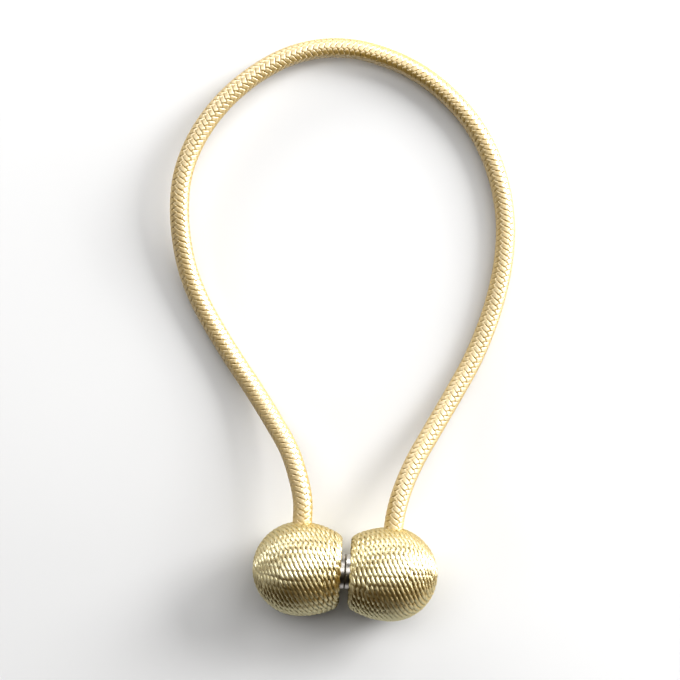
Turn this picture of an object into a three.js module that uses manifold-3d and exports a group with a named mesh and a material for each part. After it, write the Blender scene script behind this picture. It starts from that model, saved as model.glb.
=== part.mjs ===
// Magnetic curtain tieback: a braided rope with a cord-wound ball and a disc magnet at each end.
// It lies in a loop on a surface, closed by its magnets. Millimetres, +Z up.
// The origin is on the surface, under the point where the magnets meet.
// +X runs along the axis of the magnets, and +Y up the loop.
import * as THREE from 'three';
import { mergeVertices } from 'three/addons/utils/BufferGeometryUtils.js';
import Module from 'manifold-3d';

// Clearance between pieces that touch on the real thing
const GAP = 0.3;

// Balls: distances along the axis are measured from the plane where the magnets meet
const BALL_RADIUS = 17.5;
const BALL_CENTRE = 17;
const FACE_OFFSET = 2;
const SIDE_ARC = 29;
const RIM_ARC = 1.6;
const TURN_PITCH = 1.9;
const TURN_DEPTH = 0.35;
const BALL_SEGMENTS = 36;
const REST_FLAT = 0.7;
const AXIS_HEIGHT = BALL_RADIUS - REST_FLAT;

// Magnets: discs with a chamfer on the face that shows
const MAGNET_RADIUS = 6.5;
const MAGNET_LENGTH = 5;
const MAGNET_CHAMFER = 0.6;
const MAGNET_SEGMENTS = 36;
const RECESS_RADIUS = MAGNET_RADIUS + GAP;
const RECESS_BOTTOM = MAGNET_LENGTH + 2 * GAP;

// Rope: its ends go into a socket on the upper side of each ball
const ROPE_RADIUS = 3.6;
const ROPE_SIDES = 12;
const ROPE_STEPS = 64;
const ROPE_END = 11;
const SOCKET_GAP = 0.36;
const SOCKET_RADIUS = ROPE_RADIUS + SOCKET_GAP;
const SOCKET_BOTTOM = ROPE_END - GAP;
const SOCKET_LENGTH = 2 * BALL_RADIUS;
const SOCKET_SIDES = 24;

// Centre line of the rope from the left ball round the loop to the right ball, as [x, y, z]
const ROPE_ROUTE = [
  [-BALL_CENTRE, ROPE_END, AXIS_HEIGHT],
  [-BALL_CENTRE, 17, AXIS_HEIGHT],
  [-17.3, 25, 16.5],
  [-19.5, 33.6, 15.3],
  [-23.6, 43.7, 12.8],
  [-30.5, 54.3, 9.2],
  [-38.4, 65.3, 5.9],
  [-46.6, 76.1, 4.2],
  [-54.3, 87, 3.75],
  [-61.2, 98.1, 3.9],
  [-66.1, 109, 4.8],
  [-69, 120.1, 6.5],
  [-70.4, 131, 8],
  [-70.1, 142.5, 8.8],
  [-67.4, 153.4, 9],
  [-61.9, 164.8, 8.8],
  [-53.7, 175.6, 8.4],
  [-43.4, 184.8, 7.9],
  [-32.5, 191.4, 7.3],
  [-21, 195, 6.6],
  [-9, 195.7, 5.9],
  [3.1, 193.5, 5.2],
  [14.8, 189.1, 4.7],
  [26.1, 182, 4.3],
  [36.3, 172.4, 4],
  [44.2, 161, 3.8],
  [49.5, 148.3, 3.75],
  [52.4, 135.1, 3.75],
  [52.8, 122, 3.75],
  [51.3, 108.9, 3.75],
  [48.1, 95.3, 3.8],
  [43.2, 81.4, 4.3],
  [36.6, 67.7, 6.2],
  [29.6, 54.2, 9.4],
  [23.3, 41.7, 12.9],
  [19.3, 30.8, 15.6],
  [17.6, 23, 16.7],
  [BALL_CENTRE, 17, AXIS_HEIGHT],
  [BALL_CENTRE, ROPE_END, AXIS_HEIGHT],
];

const ropeYarn = new THREE.MeshStandardMaterial({ color: 0xe3cb8f, roughness: 0.45, metalness: 0 });
const woundCord = new THREE.MeshStandardMaterial({ color: 0xdcc384, roughness: 0.4, metalness: 0 });
const nickel = new THREE.MeshStandardMaterial({ color: 0xc9c5c0, roughness: 0.2, metalness: 1 });

const wasm = await Module();
wasm.setup();

// A closed three.js geometry as a solid that can be cut
function toSolid(geometry) {
  geometry.deleteAttribute('normal');
  geometry.deleteAttribute('uv');
  const merged = mergeVertices(geometry);
  const corners = merged.index.array;
  const triVerts = [];
  for (let i = 0; i < corners.length; i += 3) {
    const [a, b, c] = corners.slice(i, i + 3);
    const hasArea = a !== b && b !== c && c !== a;
    if (hasArea) triVerts.push(a, b, c);
  }
  const mesh = new wasm.Mesh({
    numProp: 3,
    vertProperties: merged.attributes.position.array,
    triVerts: new Uint32Array(triVerts),
  });
  return new wasm.Manifold(mesh);
}

function toGeometry(solid) {
  const { vertProperties, triVerts } = solid.getMesh();
  const geometry = new THREE.BufferGeometry();
  geometry.setAttribute('position', new THREE.BufferAttribute(vertProperties, 3));
  geometry.setIndex(new THREE.BufferAttribute(triVerts, 1));
  geometry.computeVertexNormals();
  return geometry;
}

// A profile of (radius, distance along the axis), listed from its far end, turned about the X axis
function turnedAboutX(profile, segments) {
  const points = profile.map(([radius, along]) => new THREE.Vector2(radius, along));
  return new THREE.LatheGeometry(points.reverse(), segments).rotateZ(-Math.PI / 2);
}

// Half section of a ball: a dome, a fuller side towards the other ball, a rounded rim and a flat face
function ballOutline() {
  const reach = SIDE_ARC - RIM_ARC;
  const drop = BALL_CENTRE - FACE_OFFSET - RIM_ARC;
  const sideCentre = BALL_RADIUS - SIDE_ARC;
  const rimCentre = sideCentre + Math.sqrt(reach ** 2 - drop ** 2);
  const rimStart = -Math.asin(drop / reach);
  const outline = new THREE.Path();
  outline.absarc(0, BALL_CENTRE, BALL_RADIUS, Math.PI / 2, 0, true);
  outline.absarc(sideCentre, BALL_CENTRE, SIDE_ARC, 0, rimStart, true);
  outline.absarc(rimCentre, FACE_OFFSET + RIM_ARC, RIM_ARC, rimStart, -Math.PI / 2, true);
  outline.lineTo(RECESS_RADIUS, FACE_OFFSET);
  return outline;
}

// The turns of cord as a crest and a valley each, then the recess for the magnet
function ballProfile() {
  const outline = ballOutline();
  const turns = Math.round(outline.getLength() / TURN_PITCH);
  const profile = [];
  for (let i = 0; i <= 2 * turns; i += 1) {
    const point = outline.getPointAt(i / (2 * turns));
    const tangent = outline.getTangentAt(i / (2 * turns));
    const sink = i % 2 === 1 ? TURN_DEPTH : 0;
    const onAxis = i === 0;
    profile.push([onAxis ? 0 : point.x + sink * tangent.y, point.y - sink * tangent.x]);
  }
  profile.push([RECESS_RADIUS, RECESS_BOTTOM], [0, RECESS_BOTTOM]);
  return profile;
}

// The socket opens towards upward (+1 or -1 along Y), and the flat spot is underneath
function ballGeometry(upward) {
  const socket = new THREE.CylinderGeometry(SOCKET_RADIUS, SOCKET_RADIUS, SOCKET_LENGTH, SOCKET_SIDES);
  socket.translate(BALL_CENTRE, upward * (SOCKET_BOTTOM + SOCKET_LENGTH / 2), 0);
  const below = new THREE.BoxGeometry(BALL_RADIUS, BALL_RADIUS, BALL_RADIUS);
  below.translate(BALL_CENTRE, 0, -AXIS_HEIGHT - BALL_RADIUS / 2);
  const wound = toSolid(turnedAboutX(ballProfile(), BALL_SEGMENTS));
  return toGeometry(wound.subtract(toSolid(socket)).subtract(toSolid(below)));
}

function magnetGeometry() {
  const front = GAP / 2;
  const back = front + MAGNET_LENGTH;
  const profile = [
    [0, back],
    [MAGNET_RADIUS, back],
    [MAGNET_RADIUS, front + MAGNET_CHAMFER],
    [MAGNET_RADIUS - MAGNET_CHAMFER, front],
    [0, front],
  ];
  return turnedAboutX(profile, MAGNET_SEGMENTS);
}

function ropeGeometry() {
  const route = new THREE.CatmullRomCurve3(ROPE_ROUTE.map((point) => new THREE.Vector3(...point)));
  const section = new THREE.Shape();
  section.absarc(0, 0, ROPE_RADIUS, 0, 2 * Math.PI);
  return new THREE.ExtrudeGeometry(section, {
    extrudePath: route,
    steps: ROPE_STEPS,
    curveSegments: ROPE_SIDES / 2,
  });
}

function namedMesh(name, geometry, material) {
  const mesh = new THREE.Mesh(geometry, material);
  mesh.name = name;
  return mesh;
}

// One half of the clasp: the right half points along +X, and the left half is turned to face it
function claspHalf(side, turn) {
  const upward = Math.cos(turn);
  const half = new THREE.Group();
  half.position.z = AXIS_HEIGHT;
  half.rotation.z = turn;
  half.add(namedMesh(`ball_${side}`, ballGeometry(upward), woundCord.clone()));
  half.add(namedMesh(`magnet_${side}`, magnetGeometry(), nickel.clone()));
  return half;
}

const tieback = new THREE.Group();
tieback.add(claspHalf('left', Math.PI), claspHalf('right', 0));
tieback.add(namedMesh('rope', ropeGeometry(), ropeYarn));

export default tieback;
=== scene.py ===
# %% [markdown]
# A magnetic curtain tieback
#
# A braided rope ends in two balls of wound cord. Each ball holds a disc magnet, and the magnets snap
# together to close the loop round a curtain. Here it lies on a pale surface and is seen from above.
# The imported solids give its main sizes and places, and this lesson dresses them in yarn and metal.

# %% Load the frame
import math

import bmesh
import bpy
import numpy as np
from mathutils import Matrix, Vector


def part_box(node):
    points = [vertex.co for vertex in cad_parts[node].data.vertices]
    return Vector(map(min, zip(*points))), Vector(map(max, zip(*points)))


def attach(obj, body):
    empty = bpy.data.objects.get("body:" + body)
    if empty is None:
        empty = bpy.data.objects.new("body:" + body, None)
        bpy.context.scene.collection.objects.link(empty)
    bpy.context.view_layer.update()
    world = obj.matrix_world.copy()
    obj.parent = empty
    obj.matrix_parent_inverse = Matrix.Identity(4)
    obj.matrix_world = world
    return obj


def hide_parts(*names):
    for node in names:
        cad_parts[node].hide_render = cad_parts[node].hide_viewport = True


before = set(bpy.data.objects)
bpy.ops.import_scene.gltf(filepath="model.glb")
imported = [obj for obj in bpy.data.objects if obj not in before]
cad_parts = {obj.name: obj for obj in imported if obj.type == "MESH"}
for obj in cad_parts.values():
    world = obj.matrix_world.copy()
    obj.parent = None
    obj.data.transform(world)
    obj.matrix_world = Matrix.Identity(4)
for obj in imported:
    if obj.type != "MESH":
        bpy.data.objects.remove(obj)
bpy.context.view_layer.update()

MM = 0.001
FULL_TURN = 2 * math.pi
print("nodes in the frame:", sorted(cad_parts))

# %% [markdown]
# Sizes from the solids
#
# The dressed part has to fit the solids. Their sizes could be typed in again, but two lists can drift
# apart, so the boxes of the solids give them: the radius of a ball, the height of the magnets' axis and
# the place of the flat face. Only the centre of a ball can't be read from its box.

# %% Sizes from the frame
BALL_CENTRE = 17 * MM
SIDES = {"left": -1, "right": 1}

ball_low, ball_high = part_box("ball_right")
magnet_low, magnet_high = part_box("magnet_right")
BALL_RADIUS = ball_high.x - BALL_CENTRE
FACE_OFFSET = ball_low.x
AXIS_HEIGHT = ball_high.z - BALL_RADIUS
MAGNET_RADIUS = (magnet_high.z - magnet_low.z) / 2
print(f"ball radius {BALL_RADIUS / MM:.2f} mm, axis {AXIS_HEIGHT / MM:.2f} mm above the surface")

# %% [markdown]
# The camera
#
# The photograph looks straight down. A camera could be placed by eye, but the picture gives its place and
# its lens. The frame is 680 pixels square, and a pixel is 0.372 mm wide at the height of the magnets, so
# the lens follows from the camera's height. The clasp lies a little turned in the picture. The camera is
# rolled by that angle, so that the part stays square to its own axes.

# %% Camera
PHOTO_SIDE = 680
PIXEL = 0.3723 * MM
CLASP_PIXEL = (345.0, 571.5)
CAMERA_HEIGHT = 0.9
CAMERA_ROLL = math.radians(3.5)
SENSOR_WIDTH = 36

photo_right = Vector((math.cos(CAMERA_ROLL), math.sin(CAMERA_ROLL), 0))
photo_up = Vector((-math.sin(CAMERA_ROLL), math.cos(CAMERA_ROLL), 0))
shift_right = (PHOTO_SIDE / 2 - CLASP_PIXEL[0]) * PIXEL
shift_up = (CLASP_PIXEL[1] - PHOTO_SIDE / 2) * PIXEL

camera_data = bpy.data.cameras.new("photo_camera")
camera_data.sensor_width = SENSOR_WIDTH
camera_data.lens = SENSOR_WIDTH * (CAMERA_HEIGHT - AXIS_HEIGHT) / (PHOTO_SIDE * PIXEL)
camera = bpy.data.objects.new("photo_camera", camera_data)
camera.location = photo_right * shift_right + photo_up * shift_up + Vector((0, 0, CAMERA_HEIGHT))
camera.rotation_euler = (0, 0, CAMERA_ROLL)
bpy.context.scene.collection.objects.link(camera)
bpy.context.scene.camera = camera
print(f"lens {camera_data.lens:.1f} mm")

# %% [markdown]
# The route of the rope
#
# The real rope is limp, and it lies in a loop as it was laid down. A Bezier curve object could follow it,
# but its handles have to be set one by one. A centripetal Catmull-Rom curve needs no handles: it goes
# through every point of a short list and doesn't overshoot. The points are those of the solid, in metres.
# The rope comes straight out of the left ball, sinks to the surface, goes round the loop and climbs to
# the right ball.

# %% Points of the route
ROPE_ROUTE = np.array([
    (-0.0170, 0.0110, 0.0168),
    (-0.0170, 0.0170, 0.0168),
    (-0.0173, 0.0250, 0.0165),
    (-0.0195, 0.0336, 0.0153),
    (-0.0236, 0.0437, 0.0128),
    (-0.0305, 0.0543, 0.0092),
    (-0.0384, 0.0653, 0.0059),
    (-0.0466, 0.0761, 0.0042),
    (-0.0543, 0.0870, 0.00375),
    (-0.0612, 0.0981, 0.0039),
    (-0.0661, 0.1090, 0.0048),
    (-0.0690, 0.1201, 0.0065),
    (-0.0704, 0.1310, 0.0080),
    (-0.0701, 0.1425, 0.0088),
    (-0.0674, 0.1534, 0.0090),
    (-0.0619, 0.1648, 0.0088),
    (-0.0537, 0.1756, 0.0084),
    (-0.0434, 0.1848, 0.0079),
    (-0.0325, 0.1914, 0.0073),
    (-0.0210, 0.1950, 0.0066),
    (-0.0090, 0.1957, 0.0059),
    (0.0031, 0.1935, 0.0052),
    (0.0148, 0.1891, 0.0047),
    (0.0261, 0.1820, 0.0043),
    (0.0363, 0.1724, 0.0040),
    (0.0442, 0.1610, 0.0038),
    (0.0495, 0.1483, 0.00375),
    (0.0524, 0.1351, 0.00375),
    (0.0528, 0.1220, 0.00375),
    (0.0513, 0.1089, 0.00375),
    (0.0481, 0.0953, 0.0038),
    (0.0432, 0.0814, 0.0043),
    (0.0366, 0.0677, 0.0062),
    (0.0296, 0.0542, 0.0094),
    (0.0233, 0.0417, 0.0129),
    (0.0193, 0.0308, 0.0156),
    (0.0176, 0.0230, 0.0167),
    (0.0170, 0.0170, 0.0168),
    (0.0170, 0.0110, 0.0168),
])
print(len(ROPE_ROUTE), "points from ball to ball")

# %% Smooth line through the points
SAMPLES_PER_SPAN = 24


def smooth_line(points, per_span):
    """A centripetal Catmull-Rom curve through the points."""
    before = 2 * points[0] - points[1]
    after = 2 * points[-1] - points[-2]
    knots = np.vstack([before, points, after])
    gaps = np.sqrt(np.linalg.norm(np.diff(knots, axis=0), axis=1))
    t = np.linspace(0, 1, per_span, endpoint=False)[:, None]
    line = []
    for i in range(len(points) - 1):
        a, b, c, d = knots[i:i + 4]
        g0, g1, g2 = gaps[i:i + 3]
        leave = ((b - a) / g0 - (c - a) / (g0 + g1) + (c - b) / g1) * g1
        arrive = ((c - b) / g1 - (d - b) / (g1 + g2) + (d - c) / g2) * g1
        line.append(
            b * (2 * t**3 - 3 * t**2 + 1)
            + leave * (t**3 - 2 * t**2 + t)
            + c * (3 * t**2 - 2 * t**3)
            + arrive * (t**3 - t**2)
        )
    return np.vstack([*line, points[-1:]])


def lengths_along(line):
    steps = np.linalg.norm(np.diff(line, axis=0), axis=1)
    return np.concatenate([[0], np.cumsum(steps)])


route_line = smooth_line(ROPE_ROUTE, SAMPLES_PER_SPAN)
ROPE_LENGTH = lengths_along(route_line)[-1]
print(f"rope is {ROPE_LENGTH:.4f} m long")

# %% [markdown]
# Directions round the rope
#
# The strands of the braid wind round the rope, so every place on its line needs two directions square to
# it: one upward and one to the right. A curve object works such directions out for itself, but they are
# awkward to read back in a script. This rope never stands upright, so the most upward direction can be
# worked out everywhere, and it doesn't twist along the way.

# %% Rope frames
FRAME_STEP = 0.25 * MM


def rows_at(wanted, given, rows):
    """Rows that are known at the given distances, read off at the wanted ones."""
    return np.stack([np.interp(wanted, given, column) for column in rows.T], axis=1)


def unit(vectors):
    return vectors / np.linalg.norm(vectors, axis=-1, keepdims=True)


def upright_frames(line):
    """The most upward direction square to the line at each point, and the one to its right."""
    tangents = unit(np.gradient(line, axis=0))
    upwards = unit(np.array([0, 0, 1]) - tangents * tangents[:, 2:])
    return upwards, np.cross(tangents, upwards)


frame_places = np.linspace(0, ROPE_LENGTH, int(ROPE_LENGTH / FRAME_STEP))
rope_line = rows_at(frame_places, lengths_along(route_line), route_line)
rope_along = lengths_along(rope_line)
rope_up, rope_side = upright_frames(rope_line)
print(f"{len(rope_line)} frames along the rope")

# %% [markdown]
# The braid
#
# Sixteen flat strands are braided: eight go round one way and eight the other, and each goes over two
# strands and under two. That makes eight columns of slanting stitches along the rope. A texture could
# draw them, but then the edge of the rope would be smooth, and no stitch would shade the next. So every
# strand is modelled, as a helix whose radius swings in and out. One formula gives all sixteen.
#
# A tight braid settles. Its columns lie nearly flat, which makes the rope softly eight-sided, and on top
# a strand lies more across the rope than its helix does. The real rope is also a little twisted, so a
# few angles say how far the braid is turned at places along it.

# %% Braid sizes
ROPE_RADIUS = 3.6 * MM
STRANDS_EACH_WAY = 8
STITCHES_PER_TURN = STRANDS_EACH_WAY // 2
STITCH_PITCH = 2.14 * MM
BRAID_LAY = STRANDS_EACH_WAY * STITCH_PITCH
STRAND_WIDTH = 1.92 * MM
STRAND_THICKNESS = 0.72 * MM
END_MARGIN = 0.5 * MM
TWIST_PLACES = np.array([0, 60, 133, 160, 225, 300, 400, 461]) * MM
TWIST_ANGLES = np.radians([27, 30, 46, 39, 33, 46, 49, 44])
print(f"a strand goes round the rope once in {BRAID_LAY / MM:.1f} mm")

# %% Path of a strand
STRAND_STEPS = 1760
STITCH_LEAN = 0.50
STITCH_FLATNESS = 3.2
STRAND_SWING = 0.24 * MM
FACET_SHARE = 0.9
FACET_RISE = 0.02 * MM


def strand_radius(beat):
    """Distance from the middle of the rope. The beat goes through a full turn from stitch to stitch."""
    over = np.tanh(STITCH_FLATNESS * np.cos(beat)) / math.tanh(STITCH_FLATNESS)
    from_middle = np.abs(np.arcsin(np.sin(beat))) / STITCHES_PER_TURN
    facet = 1 + FACET_SHARE * (1 / np.cos(from_middle) - 1)
    middle = ROPE_RADIUS - STRAND_THICKNESS / 2 - STRAND_SWING - FACET_RISE
    return middle * facet + STRAND_SWING * over


def strand_path(number, way):
    """Centre line and outward direction of a strand. The way that it goes round is +1 or -1."""
    turned = np.linspace(0, FULL_TURN * (ROPE_LENGTH - 2 * END_MARGIN) / BRAID_LAY, STRAND_STEPS)
    stagger = 0 if way > 0 else 0.5
    phase = turned - FULL_TURN * (number + stagger) / STRANDS_EACH_WAY
    beat = STITCHES_PER_TURN * phase
    lean = STITCH_LEAN * np.sin(beat) / STITCHES_PER_TURN
    distance = END_MARGIN + (turned - lean) * BRAID_LAY / FULL_TURN
    angle = phase if way > 0 else math.pi / STITCHES_PER_TURN - phase
    angle = angle + np.interp(distance, TWIST_PLACES, TWIST_ANGLES)
    up = rows_at(distance, rope_along, rope_up)
    side = rows_at(distance, rope_along, rope_side)
    outward = unit(np.cos(angle)[:, None] * up + np.sin(angle)[:, None] * side)
    centre = rows_at(distance, rope_along, rope_line)
    return centre + outward * strand_radius(beat)[:, None], outward


first_strand, _ = strand_path(0, 1)
print(f"a strand is {lengths_along(first_strand)[-1]:.3f} m long")

# %% [markdown]
# Tubes from rings
#
# A strand of yarn is a long tube with a flattened section. A curve object with a bevel profile makes such
# a tube, but it can't keep a flat strand square to the rope. So the tubes are arrays: rings of points,
# joined by walls and closed at both ends. The UV map goes round the tube (u) and along it in metres (v),
# so that a material can draw filaments along the yarn.

# %% Rings and walls
def rings_along(line, outward, section):
    """The section's points of (across, above), set square to the line at each of its points."""
    tangents = unit(np.gradient(line, axis=0))
    sideways = unit(np.cross(tangents, outward))
    out = np.cross(sideways, tangents)
    across = section[:, :1]
    above = section[:, 1:]
    return line[:, None] + across * sideways[:, None] + above * out[:, None]


def tube_faces(index):
    """Walls, then the caps of both ends. The numbers of the corners are shaped (tube, step, corner)."""
    turned = np.roll(index, -1, axis=2)
    walls = np.stack([index[:, :-1], turned[:, :-1], turned[:, 1:], index[:, 1:]], axis=-1)
    return [*walls.reshape(-1, 4).tolist(), *index[:, 0, ::-1].tolist(), *index[:, -1].tolist()]


# %% Tubes with a UV map
YARN_MAP = "yarn"


def add_yarn_map(mesh, along, corners):
    """The UV map of the walls, from the distance along each tube, shaped (tube, step)."""
    tubes, steps = along.shape
    u_low = np.broadcast_to(np.arange(corners) / corners, (tubes, steps - 1, corners))
    u_high = u_low + 1 / corners
    v_low = np.broadcast_to(along[:, :-1, None], u_low.shape)
    v_high = np.broadcast_to(along[:, 1:, None], u_low.shape)
    u = np.stack([u_low, u_high, u_high, u_low], axis=-1).ravel()
    v = np.stack([v_low, v_low, v_high, v_high], axis=-1).ravel()
    uv = np.zeros((len(mesh.loops), 2))
    uv[:len(u)] = np.stack([u, v], axis=1)
    mesh.uv_layers.new(name=YARN_MAP).data.foreach_set("uv", uv.ravel())


def shade_smooth(mesh):
    mesh.polygons.foreach_set("use_smooth", [True] * len(mesh.polygons))


def swept_mesh(name, rings, along):
    """Tubes from rings of points, shaped (tube, step, corner, xyz)."""
    index = np.arange(rings[..., 0].size).reshape(rings.shape[:3])
    mesh = bpy.data.meshes.new(name)
    mesh.from_pydata(rings.reshape(-1, 3).tolist(), [], tube_faces(index))
    shade_smooth(mesh)
    add_yarn_map(mesh, along, corners=rings.shape[2])
    return mesh


def add_piece(name, mesh):
    piece = bpy.data.objects.new(name, mesh)
    bpy.context.scene.collection.objects.link(piece)
    return piece


print("the tubes' UV map is called", YARN_MAP)

# %% [markdown]
# Both halves of the braid
#
# A strand is flat on top with rounded shoulders, and it narrows to a keel that is hidden in the braid.
# The strands that go round the same way become one mesh, so the rope is two pieces. A bevel on every
# strand would round its edges but needs many more faces. The Weighted Normal modifier gives the broad
# faces more say in the shading instead, so that the flat tops catch the light as one.

# %% Rope halves
STRAND_SECTION = np.array([
    (1, -0.3),
    (0.95, 0.45),
    (0.65, 0.95),
    (-0.65, 0.95),
    (-0.95, 0.45),
    (-1, -0.3),
    (0, -1),
]) * (STRAND_WIDTH / 2, STRAND_THICKNESS / 2)


def braid_half(name, way):
    """The eight strands that go round the same way, as one mesh."""
    paths = [strand_path(number, way) for number in range(STRANDS_EACH_WAY)]
    rings = np.array([rings_along(centre, outward, STRAND_SECTION) for centre, outward in paths])
    along = np.array([lengths_along(centre) for centre, _ in paths])
    piece = add_piece(name, swept_mesh(name, rings, along))
    piece.modifiers.new("flat_tops", "WEIGHTED_NORMAL")
    return piece


rope = braid_half("rope_strands_right", 1)
rope_partner = braid_half("rope_strands_left", -1)
print(f"each half of the braid has {len(rope.data.polygons)} faces")

# %% [markdown]
# Hanging the rope on the body
#
# The rope is the one soft piece. It leaves the left ball at its exit, follows the line that the strands
# follow, and goes back into the object at the right ball. Here both halves of its braid are hung on the
# root body, and the imported solid of the rope is hidden.

# %% Rope halves on the root body
for half in (rope, rope_partner):
    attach(half, "root")
    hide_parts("rope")

# %% [markdown]
# The shape of a ball
#
# A ball is round outside and a little fuller towards the other ball, where it ends in a flat face with a
# rounded rim. A sphere could be cut flat, but then the side would be too thin. So the half section is
# three arcs and a straight face. The winding and the body under it both follow this one line.

# %% Half section of a ball
SIDE_ARC = 29 * MM
RIM_ARC = 1.6 * MM
MAGNET_CLEARANCE = 0.3 * MM
ARC_POINTS = 160


def arc(centre, radius, start, end):
    angles = np.linspace(start, end, ARC_POINTS)
    return np.stack([centre[0] + radius * np.cos(angles), centre[1] + radius * np.sin(angles)], axis=1)


def half_section():
    """Points of (radius, distance from the meeting plane), from the middle of the dome to the magnet."""
    drop = BALL_CENTRE - FACE_OFFSET - RIM_ARC
    reach = SIDE_ARC - RIM_ARC
    side_centre = BALL_RADIUS - SIDE_ARC
    rim_centre = side_centre + math.sqrt(reach**2 - drop**2)
    rim_start = -math.asin(drop / reach)
    dome = arc((0, BALL_CENTRE), BALL_RADIUS, math.pi / 2, 0)
    side = arc((side_centre, BALL_CENTRE), SIDE_ARC, 0, rim_start)
    rim = arc((rim_centre, FACE_OFFSET + RIM_ARC), RIM_ARC, rim_start, -math.pi / 2)
    face = np.array([[MAGNET_RADIUS + MAGNET_CLEARANCE, FACE_OFFSET]])
    return np.vstack([dome, side[1:], rim[1:], face])


outline = half_section()
outline_along = lengths_along(outline)
outline_tangent = unit(np.gradient(outline, outline_along, axis=0))
outline_outward = np.stack([-outline_tangent[:, 1], outline_tangent[:, 0]], axis=1)
print(f"from dome to magnet: {outline_along[-1] / MM:.1f} mm")

# %% [markdown]
# Winding the cord
#
# A ball is wound from one long cord, turn beside turn, from the middle of its dome round the side and in
# over the flat face to the magnet. A ring for every turn would be simpler, but the real turns lean, so
# this is a spiral that climbs by one cord in each turn. Where the rope leaves the ball, the turns lean
# to either side of it.
#
# The cord is two plies twisted together, and the twist shows as short slanting strokes. The number of
# strokes in a turn goes in steps of six, so that neighbouring turns mostly have the same number and
# their strokes line up.

# %% Turns that part
PARTING = 2.2 * MM
PARTING_REACH = 3 * PARTING
TINY = 1e-9


def parted(line, side):
    """Turns that meet the rope lean to either side of it."""
    away = line - [side * BALL_CENTRE, 0, 0]
    near = np.linalg.norm(away[:, [0, 2]], axis=1)
    pushed = np.sqrt(near**2 + PARTING**2 * np.exp(-((near / PARTING_REACH) ** 2)))
    above = line[:, 1] > 0
    scale = np.where(above, pushed / np.maximum(near, TINY), 1)
    away[:, [0, 2]] *= scale[:, None]
    return away + [side * BALL_CENTRE, 0, 0]


print(f"turns are moved aside by up to {PARTING / MM:.1f} mm")

# %% Wound cord
CORD = 1.9 * MM
FIRST_TURN = 0.8 * CORD
STROKE = 3.5 * MM
STROKES_STEP = 6
STEPS_PER_STROKE = 7
SAMPLES_PER_TURN = 400
PLY_RISE = 0.18 * MM
PLY_HALF_HEIGHT = 0.42 * MM
CORD_INSET = PLY_RISE + PLY_HALF_HEIGHT


def on_section(along, inset):
    """Radius and distance of places along the half section, moved inward by the inset."""
    return rows_at(along, outline_along, outline - outline_outward * inset).T


def winding(side):
    """The cord's centre line on one ball, and how many strokes have passed at each point."""
    last_turn = outline_along[-1] - CORD / 2
    turns = (last_turn - FIRST_TURN) / CORD
    share = np.linspace(0, 1, int(turns * SAMPLES_PER_TURN))
    radius, distance = on_section(FIRST_TURN + share * (last_turn - FIRST_TURN), CORD_INSET)
    angle = share * turns * FULL_TURN
    steps = np.maximum(np.round(FULL_TURN * radius / STROKE / STROKES_STEP), 1)
    strokes = np.cumsum(steps * STROKES_STEP * np.gradient(angle)) / FULL_TURN
    line = np.stack([side * distance, radius * np.cos(angle), radius * np.sin(angle)], axis=1)
    line = parted(line, side) + [0, 0, AXIS_HEIGHT]
    wanted = np.arange(0, strokes[-1], 1 / STEPS_PER_STROKE)
    return rows_at(wanted, strokes, line), wanted


cords = {name: winding(side) for name, side in SIDES.items()}
for name, (line, strokes) in cords.items():
    print(f"{name} ball: {lengths_along(line)[-1]:.2f} m of cord, {strokes[-1]:.0f} strokes")

# %% Two plies
PLY_LEAN = 0.80 * MM
PLY_FLATNESS = 1.5
LEAN_SHARPNESS = 0.97
PLY_HALF_WIDTH = 0.72 * MM
PLY_CORNERS = 8

corner_angles = np.arange(PLY_CORNERS) * FULL_TURN / PLY_CORNERS
PLY_SECTION = np.stack([
    PLY_HALF_WIDTH * np.sin(corner_angles),
    PLY_HALF_HEIGHT * np.cos(corner_angles),
], axis=1)


def ball_plies(line, strokes, side):
    """Rings of both plies. They lie flat where the ball rests on the surface."""
    tangents = unit(np.gradient(line, axis=0))
    from_centre = unit(line - [side * BALL_CENTRE, 0, AXIS_HEIGHT])
    outward = unit(from_centre - tangents * np.sum(from_centre * tangents, axis=1, keepdims=True))
    sideways = np.cross(tangents, outward)
    plies = []
    for ply in (0, 1):
        twist = -(strokes + ply) * math.pi
        rise = PLY_RISE * np.tanh(PLY_FLATNESS * np.cos(twist)) / math.tanh(PLY_FLATNESS)
        lean = PLY_LEAN * np.arcsin(LEAN_SHARPNESS * np.sin(twist)) / math.asin(LEAN_SHARPNESS)
        centre = line + rise[:, None] * outward + lean[:, None] * sideways
        rings = rings_along(centre, outward, PLY_SECTION)
        rings[..., 2] = np.maximum(rings[..., 2], 0)
        plies.append(rings)
    return np.array(plies)


balls = {}
for name, side in SIDES.items():
    line, strokes = cords[name]
    along = lengths_along(line)
    rings = ball_plies(line, strokes, side)
    mesh = swept_mesh(f"ball_{name}_winding", rings, np.array([along, along]))
    balls[name] = add_piece(f"ball_{name}_winding", mesh)
    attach(balls[name], "root")
    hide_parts(f"ball_{name}")
    print(f"{name} winding has {len(mesh.polygons)} faces")

# %% [markdown]
# Under the winding
#
# Between two turns one can see down to the layer below. A second winding would cost many faces for
# something so nearly hidden, so a plain body just under the cord closes the gaps. It is the ball's half
# section, a little smaller, spun about the axis of the magnets.

# %% Ball bodies
BODY_INSET = 1.25 * MM
BODY_SEGMENTS = 72
BODY_POINTS = 40
RECESS_BOTTOM = 5.6 * MM
SAME_PLACE = 0.001 * MM


def finished_mesh(shape, name):
    mesh = bpy.data.meshes.new(name)
    shape.to_mesh(mesh)
    shape.free()
    return mesh


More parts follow.
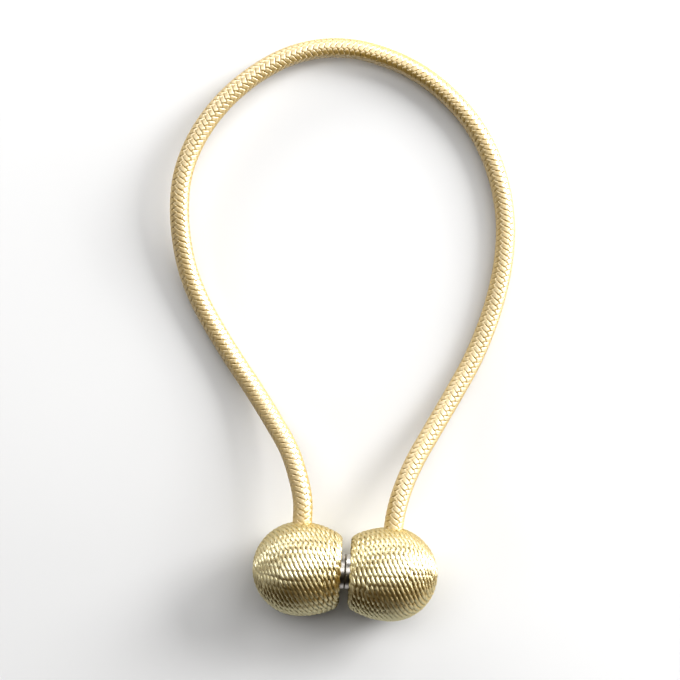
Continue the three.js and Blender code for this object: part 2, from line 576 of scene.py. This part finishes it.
def ball_body(name, side):
    radius, distance = on_section(np.linspace(0, outline_along[-1], BODY_POINTS), BODY_INSET)
    radius[0] = 0
    profile = [(side * d, r, 0) for r, d in zip(radius, distance)]
    profile += [(side * RECESS_BOTTOM, radius[-1], 0), (side * RECESS_BOTTOM, 0, 0)]
    shape = bmesh.new()
    corners = [shape.verts.new(place) for place in profile]
    edges = [shape.edges.new(pair) for pair in zip(corners, corners[1:])]
    bmesh.ops.spin(
        shape, geom=corners + edges, cent=(0, 0, 0), axis=(1, 0, 0), angle=FULL_TURN,
        steps=BODY_SEGMENTS, use_merge=True,
    )
    bmesh.ops.remove_doubles(shape, verts=shape.verts, dist=SAME_PLACE)
    bmesh.ops.recalc_face_normals(shape, faces=shape.faces)
    bmesh.ops.translate(shape, verts=shape.verts, vec=(0, 0, AXIS_HEIGHT))
    mesh = finished_mesh(shape, f"ball_{name}_body")
    shade_smooth(mesh)
    return add_piece(f"ball_{name}_body", mesh)


bodies = {}
for name, side in SIDES.items():
    bodies[name] = ball_body(name, side)
    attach(bodies[name], "root")
    print(f"{name} body has {len(bodies[name].data.polygons)} faces")

# %% [markdown]
# The magnets
#
# Each magnet is a nickel-plated disc that stands about 2 mm out of the flat face. The real ones touch.
# The solids keep a small gap, so the discs are made a little longer here and nearly meet. A plain
# cylinder would be quicker, but its edge would be too sharp to catch the light. A bevel rounds the front
# edge, and that leaves a fine dark line between the two.

# %% Magnets
MAGNET_SEGMENTS = 96
FRONT_ROUNDING = 0.3 * MM
ROUNDING_SEGMENTS = 3
FRONT_GAP = 0.03 * MM
SHARP_ANGLE = math.radians(35)


def magnet_disc(name, side):
    low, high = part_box(f"magnet_{name}")
    front = side * FRONT_GAP
    back = high.x if side > 0 else low.x
    middle = Vector(((front + back) / 2, 0, AXIS_HEIGHT))
    place = Matrix.Translation(middle) @ Matrix.Rotation(side * math.pi / 2, 4, "Y")
    shape = bmesh.new()
    bmesh.ops.create_cone(
        shape, cap_ends=True, segments=MAGNET_SEGMENTS, radius1=MAGNET_RADIUS, radius2=MAGNET_RADIUS,
        depth=abs(back - front), matrix=place,
    )
    rim = [e for e in shape.edges if all(abs(v.co.x - front) < SAME_PLACE for v in e.verts)]
    bmesh.ops.bevel(
        shape, geom=rim, offset=FRONT_ROUNDING, affect="EDGES", segments=ROUNDING_SEGMENTS, profile=0.5,
        material=-1,
    )
    mesh = finished_mesh(shape, f"magnet_{name}_disc")
    shade_smooth(mesh)
    mesh.set_sharp_from_angle(angle=SHARP_ANGLE)
    return add_piece(f"magnet_{name}_disc", mesh)


magnets = {}
for name, side in SIDES.items():
    magnets[name] = magnet_disc(name, side)
    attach(magnets[name], "root")
    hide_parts(f"magnet_{name}")
    print(f"{name} magnet has {len(magnets[name].data.polygons)} faces")

# %% [markdown]
# Filaments
#
# The rope and the cord are both shiny filament yarn. A strand holds several yarn ends side by side, and
# each end is a bundle of fine filaments. They are far too fine to model, so a node group draws them, and
# both yarns share it. A sine wave round the strand makes the ends, and noise that is stretched along it
# makes the filaments. The group reads the UV map of the tubes.

# %% Node helpers
def link(tree, source, target):
    tree.links.new(source, target)


def math_node(tree, operation, first, second=None):
    """A Math node's result. Each value is a number or the output of another node."""
    node = tree.nodes.new("ShaderNodeMath")
    node.operation = operation
    for socket, value in zip(node.inputs, (first, second)):
        if value is None:
            continue
        if isinstance(value, (int, float)):
            socket.default_value = value
        else:
            link(tree, value, socket)
    return node.outputs[0]


# %% Filament group
STREAKS_ROUND = 42.0
STREAKS_PER_METRE = 260.0
STREAK_SCALE = 1.0
STREAK_DETAIL = 2.0
END_HEIGHT = 0.35
GROUP_SOCKETS = {"Ends": "INPUT", "Twist": "INPUT", "Height": "OUTPUT", "Streaks": "OUTPUT"}


def filament_group():
    """Takes the yarn ends round a strand and their twist in turns for each metre."""
    group = bpy.data.node_groups.new("Filament yarn", "ShaderNodeTree")
    for socket, direction in GROUP_SOCKETS.items():
        group.interface.new_socket(socket, in_out=direction, socket_type="NodeSocketFloat")
    given = group.nodes.new("NodeGroupInput")
    made = group.nodes.new("NodeGroupOutput")
    uv = group.nodes.new("ShaderNodeUVMap")
    uv.uv_map = YARN_MAP
    parts = group.nodes.new("ShaderNodeSeparateXYZ")
    link(group, uv.outputs["UV"], parts.inputs[0])
    around = parts.outputs["X"]
    along = parts.outputs["Y"]
    slant = math_node(group, "MULTIPLY", along, given.outputs["Twist"])
    slanted = math_node(group, "ADD", around, slant)
    turns = math_node(group, "MULTIPLY", slanted, given.outputs["Ends"])
    wave = math_node(group, "SINE", math_node(group, "MULTIPLY", turns, FULL_TURN))
    stretched = group.nodes.new("ShaderNodeCombineXYZ")
    link(group, math_node(group, "MULTIPLY", slanted, STREAKS_ROUND), stretched.inputs["X"])
    link(group, math_node(group, "MULTIPLY", along, STREAKS_PER_METRE), stretched.inputs["Y"])
    streaks = group.nodes.new("ShaderNodeTexNoise")
    streaks.inputs["Scale"].default_value = STREAK_SCALE
    streaks.inputs["Detail"].default_value = STREAK_DETAIL
    link(group, stretched.outputs[0], streaks.inputs["Vector"])
    ridges = math_node(group, "MULTIPLY", wave, END_HEIGHT)
    height = math_node(group, "ADD", ridges, streaks.outputs["Fac"])
    link(group, height, made.inputs["Height"])
    link(group, streaks.outputs["Fac"], made.inputs["Streaks"])
    return group


filaments = filament_group()
print(f"{filaments.name} has {len(filaments.nodes)} nodes")

# %% [markdown]
# Shiny yarn
#
# The yarn is gold, but its gleam is pale, as on silk. A metal shader would make the gleam as golden as
# the yarn. So this is a surface without metal, of a deep gold colour and with a strong reflection: a high
# index of refraction (shine), a pale tint (gleam), and highlights drawn out across the filaments (grain).
# Streaks and soft patches vary the gold, streaks vary the roughness, and the height of the filaments
# goes into a fine bump (relief).

# %% Material helpers
NOISE_DETAIL = 2.0


def new_material(name):
    material = bpy.data.materials.new(name)
    material.use_nodes = True
    tree = material.node_tree
    return material, tree, tree.nodes["Principled BSDF"]


def noise_on_piece(tree, scale, detail=NOISE_DETAIL):
    """Noise on the piece's own coordinates."""
    places = tree.nodes.new("ShaderNodeTexCoord")
    noise = tree.nodes.new("ShaderNodeTexNoise")
    noise.inputs["Scale"].default_value = scale
    noise.inputs["Detail"].default_value = detail
    link(tree, places.outputs["Object"], noise.inputs["Vector"])
    return noise.outputs["Fac"]


def colour_between(tree, factor, low, high):
    mix = tree.nodes.new("ShaderNodeMix")
    mix.data_type = "RGBA"
    mix.inputs["A"].default_value = (*low, 1)
    mix.inputs["B"].default_value = (*high, 1)
    link(tree, factor, mix.inputs["Factor"])
    return mix.outputs["Result"]


def value_between(tree, factor, low, high):
    span = tree.nodes.new("ShaderNodeMapRange")
    span.inputs["To Min"].default_value = low
    span.inputs["To Max"].default_value = high
    link(tree, factor, span.inputs["Value"])
    return span.outputs[0]


# %% Yarn materials
PATCH_SCALE = 60.0
ROUGHNESS_SPREAD = 0.06
FILAMENT_HEIGHT = 0.06 * MM
YARN_SPECULAR = 0.95


def yarn_material(name, deep, bright, gleam, ends, twist, roughness, grain, shine, relief):
    material, tree, shader = new_material(name)
    yarn = tree.nodes.new("ShaderNodeGroup")
    yarn.node_tree = filaments
    yarn.inputs["Ends"].default_value = ends
    yarn.inputs["Twist"].default_value = twist
    streaks = yarn.outputs["Streaks"]
    both = math_node(tree, "ADD", streaks, noise_on_piece(tree, PATCH_SCALE))
    tone = math_node(tree, "MULTIPLY", both, 0.5)
    link(tree, colour_between(tree, tone, deep, bright), shader.inputs["Base Color"])
    rough = value_between(tree, streaks, roughness - ROUGHNESS_SPREAD, roughness + ROUGHNESS_SPREAD)
    link(tree, rough, shader.inputs["Roughness"])
    bump = tree.nodes.new("ShaderNodeBump")
    bump.inputs["Strength"].default_value = relief
    bump.inputs["Distance"].default_value = FILAMENT_HEIGHT
    link(tree, yarn.outputs["Height"], bump.inputs["Height"])
    link(tree, bump.outputs[0], shader.inputs["Normal"])
    across_yarn = tree.nodes.new("ShaderNodeTangent")
    across_yarn.direction_type = "UV_MAP"
    across_yarn.uv_map = YARN_MAP
    link(tree, across_yarn.outputs[0], shader.inputs["Tangent"])
    shader.inputs["Anisotropic"].default_value = grain
    shader.inputs["IOR"].default_value = shine
    shader.inputs["Specular IOR Level"].default_value = YARN_SPECULAR
    shader.inputs["Specular Tint"].default_value = (*gleam, 1)
    return material


# %% Rope yarn
rope_yarn = yarn_material(
    "pale gold braided yarn",
    deep=(0.31, 0.190, 0.016),
    bright=(0.54, 0.350, 0.045),
    gleam=(1.0, 0.99, 0.93),
    ends=12.0,
    twist=0.0,
    roughness=0.47,
    grain=0.5,
    shine=2.55,
    relief=0.25,
)
for half in (rope, rope_partner):
    half.data.materials.append(rope_yarn)
print("material of the rope:", rope_yarn.name)

# %% Wound yarn
wound_yarn = yarn_material(
    "pale gold twisted cord",
    deep=(0.18, 0.098, 0.011),
    bright=(0.34, 0.205, 0.032),
    gleam=(1.0, 0.98, 0.74),
    ends=4.0,
    twist=120.0,
    roughness=0.43,
    grain=0.8,
    shine=3.3,
    relief=0.4,
)
for name in SIDES:
    balls[name].data.materials.append(wound_yarn)
print("material of the windings:", wound_yarn.name)

# %% [markdown]
# The layer below
#
# What shows between two turns is more of the same yarn, but in shade and without a gleam. It could share
# the cord's material, but a smooth body has no filaments to draw. So it is a plain, matt gold with a fine
# fuzz of noise.

# %% Body material
FUZZ_SCALE = 900.0
UNDER_DARK = (0.26, 0.17, 0.06)
UNDER_BRIGHT = (0.40, 0.28, 0.11)
UNDER_ROUGHNESS = 0.7


def body_material():
    material, tree, shader = new_material("gold under-layer")
    fuzz = noise_on_piece(tree, FUZZ_SCALE)
    link(tree, colour_between(tree, fuzz, UNDER_DARK, UNDER_BRIGHT), shader.inputs["Base Color"])
    shader.inputs["Roughness"].default_value = UNDER_ROUGHNESS
    return material


under_layer = body_material()
for name in SIDES:
    bodies[name].data.materials.append(under_layer)
print("material of the bodies:", under_layer.name)

# %% [markdown]
# Nickel plate
#
# Bright plating is never perfectly even: it has a faint grain and small smudges. A metal with only one
# roughness looks too perfect, so noise drives both the roughness and the tone.

# %% Nickel material
SMUDGE_SCALE = 420.0
SMUDGE_DETAIL = 4.0
NICKEL_DARK = (0.60, 0.57, 0.54)
NICKEL_BRIGHT = (0.74, 0.71, 0.68)
NICKEL_POLISHED = 0.28
NICKEL_SMUDGED = 0.42


def nickel_material():
    material, tree, shader = new_material("bright nickel plate")
    smudges = noise_on_piece(tree, SMUDGE_SCALE, SMUDGE_DETAIL)
    rough = value_between(tree, smudges, NICKEL_POLISHED, NICKEL_SMUDGED)
    link(tree, rough, shader.inputs["Roughness"])
    link(tree, colour_between(tree, smudges, NICKEL_DARK, NICKEL_BRIGHT), shader.inputs["Base Color"])
    shader.inputs["Metallic"].default_value = 1.0
    return material


nickel = nickel_material()
for name in SIDES:
    magnets[name].data.materials.append(nickel)
print("material of the magnets:", nickel.name)

# %% [markdown]
# The floor
#
# The tieback lies on a plain pale surface. A plane of any size would do for the view from above. From
# low down its far edge shows, so the floor is a disc that ends before the low lights, and none of them
# stands on it.

# %% Floor
FLOOR_RADIUS = 1.3
FLOOR_SEGMENTS = 128
FLOOR_GREY = (0.72, 0.72, 0.72)
FLOOR_ROUGHNESS = 0.7


def floor_piece():
    shape = bmesh.new()
    bmesh.ops.create_circle(shape, cap_ends=True, segments=FLOOR_SEGMENTS, radius=FLOOR_RADIUS)
    mesh = finished_mesh(shape, "floor")
    material, _, shader = new_material("pale floor")
    shader.inputs["Base Color"].default_value = (*FLOOR_GREY, 1)
    shader.inputs["Roughness"].default_value = FLOOR_ROUGHNESS
    mesh.materials.append(material)
    return add_piece("floor", mesh)


floor = floor_piece()
print("floor is", 2 * FLOOR_RADIUS, "m wide")

# %% [markdown]
# The lights
#
# The shadows in the photograph are soft and fall to the lower left. A picture of a room could light the
# scene, but a few area lights are easier to move about. A bright window stands at the right, with a
# fainter one above it at the upper right and a long low one below it. A low wall glows at the upper left,
# a faint fill comes from the lower left, and a strip of ceiling hangs a little towards the top of the
# picture. Nothing bright stands at its lower edge, and that gives the balls their dark band.

# %% Lights
AIM = Vector((0, 0.09, 0))
LIGHT_DISTANCE = 1.5


def softbox(name, azimuth, elevation, size, watts):
    """An area light that faces the middle of the loop. The angles are in degrees, the size in metres."""
    data = bpy.data.lights.new(name, "AREA")
    data.shape = "RECTANGLE"
    data.size, data.size_y = size
    data.energy = watts
    light = bpy.data.objects.new(name, data)
    turn = math.radians(azimuth)
    rise = math.radians(elevation)
    back = Vector((math.cos(turn) * math.cos(rise), math.sin(turn) * math.cos(rise), math.sin(rise)))
    light.location = AIM + back * LIGHT_DISTANCE
    light.rotation_euler = back.to_track_quat("Z", "Y").to_euler()
    bpy.context.scene.collection.objects.link(light)
    return light


lights = [
    softbox("window_right", azimuth=30, elevation=28, size=(0.65, 0.65), watts=16.5),
    softbox("window_top", azimuth=60, elevation=36, size=(0.8, 0.75), watts=4.2),
    softbox("window_low", azimuth=25, elevation=10, size=(2.2, 0.45), watts=17),
    softbox("wall", azimuth=122, elevation=13, size=(1.5, 0.55), watts=12),
    softbox("wall_left", azimuth=204, elevation=26, size=(0.8, 0.6), watts=1.5),
    softbox("ceiling", azimuth=90, elevation=76, size=(2.4, 0.7), watts=10.8),
]
print("lights:", [light.name for light in lights])

# %% [markdown]
# The room
#
# The rest of the room is dim and warm. The yarn should reflect it, but a camera that looks past the floor
# should see a white backdrop instead. The Light Path node tells the two apart: Is Camera Ray is 1 only
# for a ray that comes straight from the camera. The High Contrast look gives the crisp darks and bright
# whites of the photograph.

# %% Room
ROOM_GLOW = (0.012, 0.0096, 0.0072)
BACKDROP = (1.0, 1.0, 1.0)

world = bpy.data.worlds.new("room")
world.use_nodes = True
room = world.node_tree
rays = room.nodes.new("ShaderNodeLightPath")
seen = colour_between(room, rays.outputs["Is Camera Ray"], ROOM_GLOW, BACKDROP)
link(room, seen, room.nodes["Background"].inputs["Color"])
bpy.context.scene.world = world
bpy.context.scene.view_settings.view_transform = "Standard"
bpy.context.scene.view_settings.look = "High Contrast"
print("look:", bpy.context.scene.view_settings.look)
